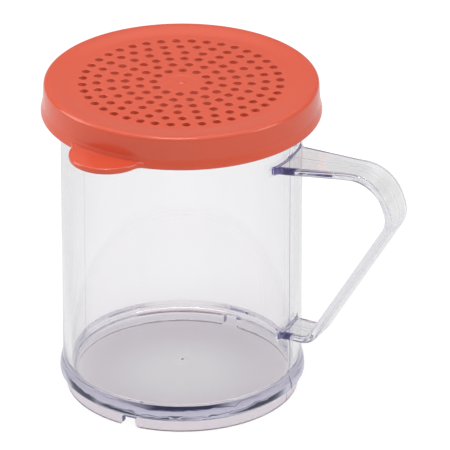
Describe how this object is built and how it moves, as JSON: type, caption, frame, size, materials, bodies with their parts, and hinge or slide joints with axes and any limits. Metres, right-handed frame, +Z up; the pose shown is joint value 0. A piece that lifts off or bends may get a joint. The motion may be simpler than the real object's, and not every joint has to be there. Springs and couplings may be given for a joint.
{
  "type": "spice shaker",
  "caption": "Clear handled cup with a flared foot, closed by a coral lid with a perforated sprinkle panel and a pull tab. The lid presses onto the rim.",
  "frame": {"origin": "centre of the foot ring, on the cup's axis, in the plane the cup stands on", "axes": "+Z up along the cup's axis, +X towards the handle"},
  "size_m": [0.1104, 0.09, 0.0969],
  "materials": {
    "clear_plastic": "gloss",
    "coral_plastic": "gloss"
  },
  "bodies": {
    "cup": {"cup": "clear_plastic", "handle": "clear_plastic"},
    "lid": {"lid": "coral_plastic"}
  },
  "joints": [
    {"name": "lid_lift", "type": "slide", "parent": "cup", "child": "lid", "axis": [0, 0, 1], "range_m": [0, 0.045]}
  ]
}
